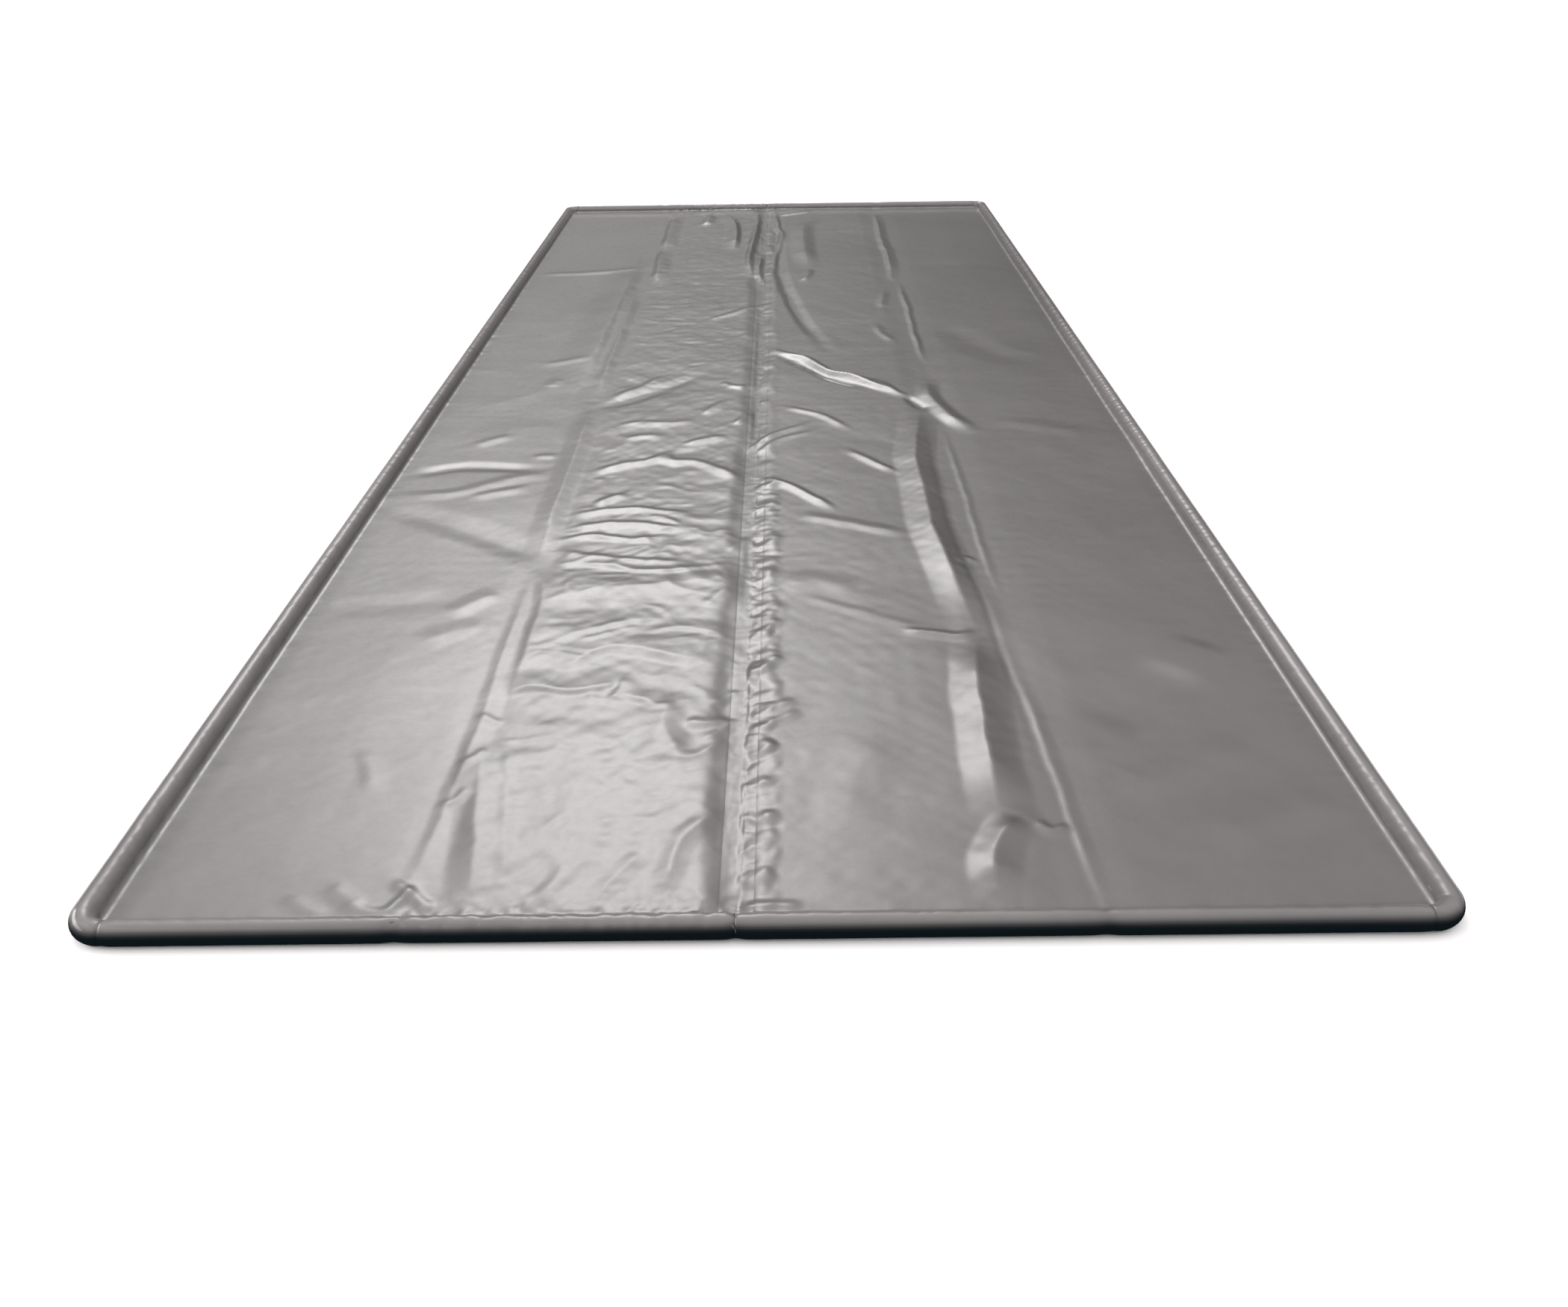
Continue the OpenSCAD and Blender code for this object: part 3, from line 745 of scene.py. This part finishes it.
def top_height(x, y):
    """Height of the top sheet's upper face in mm, on a grid of x and y in mm."""
    near_seam = np.exp(-((x + 20) / 45.0)**2)
    right_wander = near_seam * (9 * noise_along(y, 44, 9, 3) + 4 * noise_along(y, 17, 10, 5))
    left_wander = near_seam * (15 * noise_along(y, 90, 19, 3) + 5 * noise_along(y, 26, 20, 5))
    wander = np.where(x > -24, right_wander, left_wander) * smooth(np.abs(x + 28) / 8)
    z = panel_height(x - wander)
    z += 0.9 * turned_noise(x, y, 210, 1) + 0.3 * crumple(x, y, 150, 2)

    inner_left = smooth((x + 300) / 30) * smooth((-30 - x) / 40)
    inner_right = smooth((x - 10) / 30) * smooth((280 - x) / 30)
    places, depths = zip(*CRUMPLED)
    z += inner_left * np.interp(y, places, depths) * crumple(x, y * 1.2, 44, 3)

    # The seam's irregular left edge, and the bulges along its right edge in the near part.
    z += 1.7 * noise_along(y, 75, 23, 7) * np.exp(-((x + 52) / 16.0)**2)
    bulges = smooth((x + 26) / 4) * smooth((16 + right_wander - x) / 12) * smooth((-480 - y) / 60)
    z += bulges * (0.5 * turned_noise(x, y, 13, 46) - 0.9 * crumple(x, y, 30, 6))
    z += 0.25 * near_seam * crumple(x, y, 20, 7)

    z += (0.08 + 0.08 * inner_right + 0.2 * inner_left) * sample(RELIEF, x, y)
    for folds in ALL_FOLDS:
        add_folds(x, y, z, folds)
    z = add_bead_puckers(x, y, z)
    return np.maximum(z, LOWEST + 0.1 * turned_noise(x, y, 20, 8))


def add_bead_puckers(x, y, z):
    """Draws the sheet up into the beads, and gathers it there in short folds."""
    side = np.clip(1 - (COVER_X - np.abs(x)) / 9, 0, 1)**2
    end = np.clip(1 - (COVER_Y - np.abs(y)) / 10, 0, 1)**2
    drawn = 1 - (1 - side) * (1 - end)
    z = z * (1 - drawn) + EDGE_HEIGHT * drawn
    for across, along, edge, seed in ((x, y, COVER_X, 21), (y, x, COVER_Y, 22)):
        inwards = edge - np.abs(across)
        hand = np.sign(across) * 100        # so that opposite edges differ
        gather = noise_2d(along, hand, 13, 50, seed) + 0.6 * noise_2d(along, hand, 5, 50, seed + 10)
        strength = 0.7 + 0.5 * noise_2d(along, hand, 90, 50, seed + 20)
        z = z + 0.9 * strength * gather * np.exp(-inwards / 9.0) * smooth(inwards / 3)
    for end, (start, stop) in ((-1, GATHERED["near"]), (1, GATHERED["far"])):
        share = smooth((x - start) / 20) * smooth((stop - x) / 20) * smooth(np.abs(y) - 1400)
        share = np.where(np.sign(y) == end, share, 0) * np.exp(-(COVER_Y - np.abs(y)) / 16)
        z = z + 2.0 * share * turned_noise(x, y, 8, 45)
    return z


# -------- meshes

def add_mesh(name, verts, faces, material, underside_and_shade=None):
    """A smooth-shaded object whose points remember where they are at rest."""
    mesh = bpy.data.meshes.new(name)
    mesh.from_pydata(verts.tolist(), [], faces.tolist())
    rest = mesh.attributes.new("rest", "FLOAT_VECTOR", "POINT")
    rest.data.foreach_set("vector", verts.astype(np.float32).ravel())
    # The share of a bead's near-black mix: partly the underside vinyl, mostly painted shade.
    if underside_and_shade is not None:
        share = mesh.attributes.new("underside_and_shade", "FLOAT", "POINT")
        share.data.foreach_set("value", underside_and_shade.astype(np.float32).ravel())
    mesh.polygons.foreach_set("use_smooth", [True] * len(mesh.polygons))
    mesh.materials.append(material)
    obj = bpy.data.objects.new(name, mesh)
    bpy.context.scene.collection.objects.link(obj)
    return obj


def grid_faces(rows, columns, wrap=False):
    """Quads of a grid of points stored row by row; wrap closes each row on itself."""
    i = np.arange(columns if wrap else columns - 1)
    j = np.arange(rows - 1)[:, None]
    a, b = j * columns + i, j * columns + (i + 1) % columns
    return np.stack([a, b, b + columns, a + columns], -1).reshape(-1, 4)


def stops(*bands):
    """Places from the first value on, in steps that change: start, (end, step), (end, step), ..."""
    places = [bands[0]]
    for end, step in bands[1:]:
        count = max(1, round((end - places[-1]) / step))
        places += list(np.linspace(places[-1], end, count + 1)[1:])
    return np.array(places)


def sheet_from_grid(name, x, y, z, material, turn_down):
    """A sheet over the grid x, y with heights z, in mm. Its rim turns down, so that its edge has a
    thickness; a negative turn_down turns it up."""
    grid = np.stack([x, y, z], -1)
    drop = np.array([0, 0, turn_down])
    grid = np.concatenate([grid[:, :1] - drop, grid, grid[:, -1:] - drop], 1)
    grid = np.concatenate([grid[:1] - drop, grid, grid[-1:] - drop], 0)
    return add_mesh(name, grid.reshape(-1, 3) * MM, grid_faces(*grid.shape[:2]), material)


def round_off_corners(x, y):
    """Pulls the grid's corner points in, so that the sheet follows the bead round the corners."""
    radius = (CORNER_LINE_R - TUCK) / MM
    cx, cy = CORNER_X / MM, (END_Y - CORNER_LINE_R) / MM
    ax, ay = np.abs(x) - cx, np.abs(y) - cy
    over = np.hypot(np.maximum(ax, 0), np.maximum(ay, 0))
    in_corner = (ax > 0) & (ay > 0)
    scale = np.where(in_corner & (over > radius), radius / np.maximum(over, 1e-6), 1)
    rounded_x = np.where(in_corner, np.sign(x) * (cx + ax * scale), x)
    rounded_y = np.where(in_corner, np.sign(y) * (cy + ay * scale), y)
    return rounded_x, rounded_y


def make_top_sheets(materials):
    """The top cover, in two widths that meet under the seam strip."""
    rows = stops(-COVER_Y, (-500, 3.4), (500, 5), (COVER_Y, 7))
    columns = {
        "left": stops(-COVER_X, (-570, 2.6), (-400, 5.5), (-345, 4), (SEAM_X, 2.7)),
        "right": stops(SEAM_X, (270, 3.1), (310, 2.6), (400, 4.5), (570, 5.5), (COVER_X, 2.6)),
    }
    for side, (a, b, fold) in HALVES.items():
        x, y = np.meshgrid(columns[side], rows)
        under_strip = smooth((15 - np.abs(x - SEAM_X)) / 4)
        z = top_height(x, y) - 1.1 * under_strip
        x, y = round_off_corners(x, y)
        sheet = sheet_from_grid(f"top_sheet_{side}", x, y, z, materials["vinyl_top"], turn_down=1.2)
        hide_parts(f"top_cover_{a}", f"top_cover_{b}")
        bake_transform(sheet)


def make_bottom_sheets(materials):
    """The bottom cover, in two widths with a small gap at the seam."""
    gap = 0.3
    columns = {
        "left": stops(-COVER_X, (-345, 12), (-295, 2.5), (SEAM_X - gap, 12)),
        "right": stops(SEAM_X + gap, (268, 12), (318, 2.5), (COVER_X, 12)),
    }
    for side, (a, b, fold) in HALVES.items():
        x, y = np.meshgrid(columns[side], stops(-COVER_Y, (COVER_Y, 12)))
        z = 0.45 + 0.35 * noise_2d(x, y, 40, 50, 31)
        x, y = round_off_corners(x, y)
        sheet = sheet_from_grid(f"bottom_sheet_{side}", x, y, z, materials["vinyl_underside"],
                                turn_down=-0.7)
        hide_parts(f"bottom_cover_{a}", f"bottom_cover_{b}")
        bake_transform(sheet)


def make_seam(materials):
    """The strip welded over the centre seam, with its crinkles, and the tape inside the bottom covers."""
    half = 19.0

    x, y = np.meshgrid(stops(SEAM_X - half, (SEAM_X + half, 1.9)),
                       stops(-COVER_Y, (-500, 2.6), (500, 4), (COVER_Y, 6)))
    from_edge = half - np.abs(x - SEAM_X)
    z = top_height(x, y)
    z += 0.45 * np.clip(from_edge / 8, 0, 1) - 0.28
    z += 0.25 * smooth(from_edge / half) * turned_noise(x, y, 13, 41)
    strip = sheet_from_grid("seam_strip", x, y, z, materials["vinyl_tape"], turn_down=0.6)
    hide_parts("seam_tapes_left", "seam_tapes_right")
    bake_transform(strip)

    x, y = np.meshgrid(stops(SEAM_X - half, (SEAM_X + half, 2)), stops(-COVER_Y, (COVER_Y, 12)))
    tape = sheet_from_grid("seam_tape_below", x, y, np.full(x.shape, 1.35), materials["vinyl_tape"],
                           turn_down=0.25)
    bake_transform(tape)


def tube(path, outward, radius):
    """Rings round a level path: path and outward are (n, 3); radius(ring index, angles) gives a ring's
    radii. Angle 0 points outward and 90 degrees up."""
    around = 32
    angles = np.arange(around) * 2 * np.pi / around
    across, up = np.cos(angles)[:, None], np.sin(angles)[:, None] * np.array([0, 0, 1])
    return np.array([centre + radius(k, angles)[:, None] * (across * out + up)
                     for k, (centre, out) in enumerate(zip(path, outward))])


def bead_radius(along, seed, base, kinks, gathered=None):
    """Radius of the bead, in metres, by place along it, in mm: soft lumps, puckers on the weld side,
    necks at the kinks (place, depth, width), and gathers on top of the stretch called gathered."""
    def radius(k, angles):
        s = np.full(angles.shape, along[k])
        inner = smooth((-np.cos(angles) + 0.35) / 1.0) * smooth((np.sin(angles) + 0.25) / 0.7)
        lumps = 0.16 * noise_2d(s, angles * 20, 70, 40, seed)
        pucker = noise_2d(s + 5 * np.sin(angles), angles * 9, 6, 14, seed + 1)
        bite = 0.55 * np.minimum(pucker, 0.15) * inner
        creases = 0.22 * noise_2d(s, angles * 12, 11, 16, seed + 2)
        neck = sum(-depth * math.exp(-((along[k] - place) / width)**2) for place, depth, width in kinks)
        gathers = 0.0
        if gathered is not None:
            share = smooth((s - gathered[0]) / 20) * smooth((gathered[1] - s) / 20)
            gathers = 0.8 * share * noise_2d(s, angles * 12, 6, 7, seed + 3) * smooth(np.sin(angles))
        return (base + lumps + bite + creases * (0.3 + 0.7 * inner) + neck + gathers) * MM
    return radius


def rod_radius(k, angles):
    return np.full(angles.shape, ROD_R)


def underside_and_shade_share(points):
    """1 on a bead's lower, outer side, 0 on its top and on its inner side: the share of its near-black mix, partly
    the dark underside vinyl wrapped up the bead and mostly painted shade fading up it.
    """
    dark_from, fade, outer_fade = 0.0249, 0.0098, 0.008
    outwards = np.maximum(np.abs(points[..., 0]) - SIDE_X, np.abs(points[..., 1]) - END_Y)
    return smooth((dark_from - points[..., 2]) / fade) * smooth(outwards / outer_fade + 0.9)


def add_tube(name, rings, material):
    """A closed tube from rings, kept above the floor, with a flat-shaded cap at each end."""
    count, around = rings.shape[:2]
    points = np.vstack([rings.reshape(-1, 3), rings[[0, -1]].mean(1)])
    points[:-2, 2] = np.maximum(points[:-2, 2], 0.0)
    # Each point's share of the bead's near-black mix: partly the underside vinyl, mostly painted shade.
    obj = add_mesh(name, points, grid_faces(count, around, wrap=True), material, underside_and_shade_share(points))
    bm = bmesh.new()
    bm.from_mesh(obj.data)
    bm.verts.ensure_lookup_table()
    first_tip = count * around
    for ring, tip in ((0, first_tip), (first_tip - around, first_tip + 1)):
        for i in range(around):
            corners = (ring + i, ring + (i + 1) % around, tip)
            bm.faces.new([bm.verts[corner] for corner in corners]).smooth = False
    bmesh.ops.recalc_face_normals(bm, faces=bm.faces)
    bm.to_mesh(obj.data)
    bm.free()
    return obj


def straight_end_tube(end, x0, x1, step, radius_of):
    """Rings along an end bead's centre line from x0 to x1; radius_of(x in metres) gives tube's radius."""
    x = stops(x0, (x1, step))
    path = np.stack([x, np.full(x.shape, END_Y * end), np.full(x.shape, BEAD_R)], -1)
    outward = np.tile([0, float(end), 0], (len(x), 1))
    return tube(path, outward, radius_of(x))


def make_end_beads(materials):
    """The near and far beads, each in two pieces that meet at the centre seam, and the foam rods in them."""
    spans = {"left": (-CORNER_X, CENTRE), "right": (CENTRE, CORNER_X)}
    for end, word in ((-1, "near"), (1, "far")):
        for side, (a, b, fold) in HALVES.items():
            x0, x1 = spans[side]
            seed = 60 + 7 * end + len(side)
            kinks = [(fold / MM, 0.9, 9), (CENTRE / MM, 0.7, 8), (x0 / MM, 0.7, 4), (x1 / MM, 0.7, 4)]
            rings = straight_end_tube(
                end, x0, x1, 0.003,
                lambda x: bead_radius(x / MM, seed, 11.75, kinks, GATHERED[word]))
            bead = add_tube(f"{word}_bead_{side}", rings, materials["vinyl_bead"])
            if (word, side) == ("far", "left"):
                cut_inlet_hole(bead)
            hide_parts(f"bead_sleeve_{word}_{a}", f"bead_sleeve_{word}_{b}")
            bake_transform(bead)
            make_rods(word, side, end, x0, x1, materials)


def make_rods(word, side, end, x0, x1, materials):
    """The foam rods inside one end bead. The inlet's body takes the place of a stretch of one of them,
    and the short rod beyond it doesn't reach the fold, so it only rides."""
    a, b, fold = HALVES[side]
    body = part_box("inlet_body")
    stretches = [(x0, x1, "outer")]
    if (word, side) == ("far", "left"):
        stretches = [(x0, body[0].x, "outer"), (body[1].x, x1, "inner")]
    for start, stop, place in stretches:
        rings = straight_end_tube(end, start + ROD_GAP, stop - ROD_GAP, 0.006, lambda x: rod_radius)
        rod = add_tube(f"{word}_rod_{side}_{place}", rings, materials["rod_foam"])
        if place == "outer":
            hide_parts(f"bead_rod_{word}_{a}", f"bead_rod_{word}_{b}")
            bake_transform(rod)
        else:
            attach(rod, b)


def cut_inlet_hole(bead):
    """Opens the sleeve round the inlet's bezel."""
    clearance, depth = 0.0003, 0.03
    bpy.ops.mesh.primitive_cylinder_add(vertices=64, radius=INLET_R + clearance, depth=depth,
                                        location=(INLET_X, END_Y + depth / 2, BEAD_R),
                                        rotation=(math.pi / 2, 0, 0))
    cutter = bpy.context.object
    cut = bead.modifiers.new("inlet", "BOOLEAN")
    cut.operation = "DIFFERENCE"
    cut.object = cutter
    cut.solver = "EXACT"
    bpy.context.view_layer.objects.active = bead
    bpy.ops.object.modifier_apply(modifier=cut.name)
    bpy.data.objects.remove(cutter)


def side_path(side):
    """The side bead's centre line and outward directions, from the near end bead round both corners.
    side is -1 on the left and 1 on the right."""
    turn = np.linspace(-np.pi / 2, 0, 15)
    cy = END_Y - CORNER_LINE_R
    near = [(CORNER_X + CORNER_LINE_R * np.cos(t), -cy + CORNER_LINE_R * np.sin(t), np.cos(t), np.sin(t))
            for t in turn]
    straight = [(SIDE_X, y, 1.0, 0.0) for y in stops(-cy, (cy, 0.003))[1:-1]]
    far = [(p[0], -p[1], p[2], -p[3]) for p in reversed(near)]
    rows = np.array(near + straight + far)
    path = np.stack([side * rows[:, 0], rows[:, 1], np.full(len(rows), BEAD_R)], -1)
    outward = np.stack([side * rows[:, 2], rows[:, 3], np.zeros(len(rows))], -1)
    return path, outward


def make_side_beads(materials):
    """The beads along the long sides and round the corners; the foam in them stays the CAD's."""
    for side, word in ((-1, "left"), (1, "right")):
        path, outward = side_path(side)
        along = np.concatenate([[0], np.cumsum(np.linalg.norm(np.diff(path, axis=0), axis=1))]) / MM
        kinks = [(0, 0.8, 4), (along[-1], 0.8, 4)]
        rings = tube(path, outward, bead_radius(along, 80 + side, 11.9, kinks))
        bead = add_tube(f"side_bead_{word}", rings, materials["vinyl_bead"])
        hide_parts(f"side_sleeve_{word}", f"corner_wraps_{word}")
        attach(bead, f"{word}_outer")


def paint_cad_nodes(materials):
    """Gives every CAD node that still shows the finish of its own slot."""
    for part in frame["record"]["subparts"]:
        node = frame["nodes"][part["node"]]
        node.data.materials.clear()
        node.data.materials.append(materials[part["material_slot"]])


make_camera()
make_stage()
MATERIALS = make_materials()
paint_cad_nodes(MATERIALS)
RELIEF = settle_cover()
make_top_sheets(MATERIALS)
make_bottom_sheets(MATERIALS)
make_seam(MATERIALS)
make_end_beads(MATERIALS)
make_side_beads(MATERIALS)
